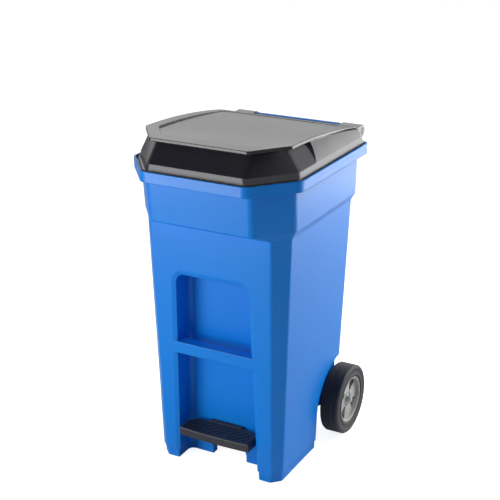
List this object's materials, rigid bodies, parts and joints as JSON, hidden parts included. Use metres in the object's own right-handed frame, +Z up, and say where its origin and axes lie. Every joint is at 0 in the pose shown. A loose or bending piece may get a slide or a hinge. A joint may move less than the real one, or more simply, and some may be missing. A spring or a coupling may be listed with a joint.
{
  "type": "wheelie bin",
  "caption": "Roll-out bin with tapered body, wide chamfered rim, grab bar in a front recess, hinged lid lifted by a foot pedal through rods at the back, and rear wheels on an axle.",
  "frame": {"origin": "middle of the plan, on the floor the wheels and the front foot stand on", "axes": "+Z up, -Y towards the front with the pedal, +X to the right of someone facing the back from the front"},
  "size_m": [0.49, 0.61, 0.9459],
  "materials": {
    "blue_plastic": "moulded polyethylene, satin sheen",
    "black_plastic": "moulded polyethylene, fine grain",
    "grey_plastic": "moulded polypropylene",
    "roller_plastic": "natural nylon",
    "tyre_rubber": "solid rubber",
    "zinc_steel": "zinc-plated steel"
  },
  "bodies": {
    "container": {"container": "blue_plastic", "axle": "zinc_steel", "pedal_pivot_rod": "zinc_steel", "wheel_spacer_left": "zinc_steel", "wheel_spacer_right": "zinc_steel", "axle_washer_left": "zinc_steel", "axle_washer_right": "zinc_steel", "axle_nut_left": "zinc_steel", "axle_nut_right": "zinc_steel"},
    "lifter": {"lift_lever_left": "zinc_steel", "lift_lever_right": "zinc_steel", "crank_pin_left": "zinc_steel", "crank_pin_right": "zinc_steel", "crank_roller_left": "roller_plastic", "crank_roller_right": "roller_plastic"},
    "lift_rods": {"lift_rod_left": "zinc_steel", "lift_rod_right": "zinc_steel"},
    "lid": {"lid": "black_plastic", "hinge_rod": "zinc_steel", "hinge_cap_left": "black_plastic", "hinge_cap_right": "black_plastic"},
    "pedal_frame": {"pedal": "black_plastic", "pedal_arm": "zinc_steel", "pedal_cross_rod": "zinc_steel", "pedal_screw_left": "zinc_steel", "pedal_screw_right": "zinc_steel"},
    "wheel_left": {"wheel_hub_left": "grey_plastic", "wheel_tyre_left": "tyre_rubber"},
    "wheel_right": {"wheel_hub_right": "grey_plastic", "wheel_tyre_right": "tyre_rubber"}
  },
  "joints": [
    {"name": "lift_lever_hinge", "type": "hinge", "parent": "container", "child": "lifter", "pos_m": [0, 0.2875, 0.8735], "axis": [-1, 0, 0], "range_deg": [0, 80]},
    {"name": "lid_hinge", "type": "hinge", "parent": "lifter", "child": "lid", "pos_m": [0, 0.2875, 0.8735], "axis": [-1, 0, 0], "range_deg": [0, 175]},
    {"name": "lift_rod_swing", "type": "hinge", "parent": "lifter", "child": "lift_rods", "pos_m": [0, 0.25379, 0.84522], "axis": [1, 0, 0], "range_deg": [0, 80.5]},
    {"name": "pedal_pivot", "type": "hinge", "parent": "container", "child": "pedal_frame", "pos_m": [0, 0.013, 0.085], "axis": [1, 0, 0], "range_deg": [0, 16.5]},
    {"name": "wheel_spin_left", "type": "hinge", "parent": "container", "child": "wheel_left", "pos_m": [-0.2082, 0.1752, 0.1017], "axis": [1, 0, 0], "continuous": true},
    {"name": "wheel_spin_right", "type": "hinge", "parent": "container", "child": "wheel_right", "pos_m": [0.2082, 0.1752, 0.1017], "axis": [1, 0, 0], "continuous": true}
  ],
  "couplings": [
    {"joint": "lift_rod_swing", "follows": "lift_lever_hinge", "ratio": 1},
    {"joint": "pedal_pivot", "follows": "lift_lever_hinge", "ratio": 0.20458}
  ]
}
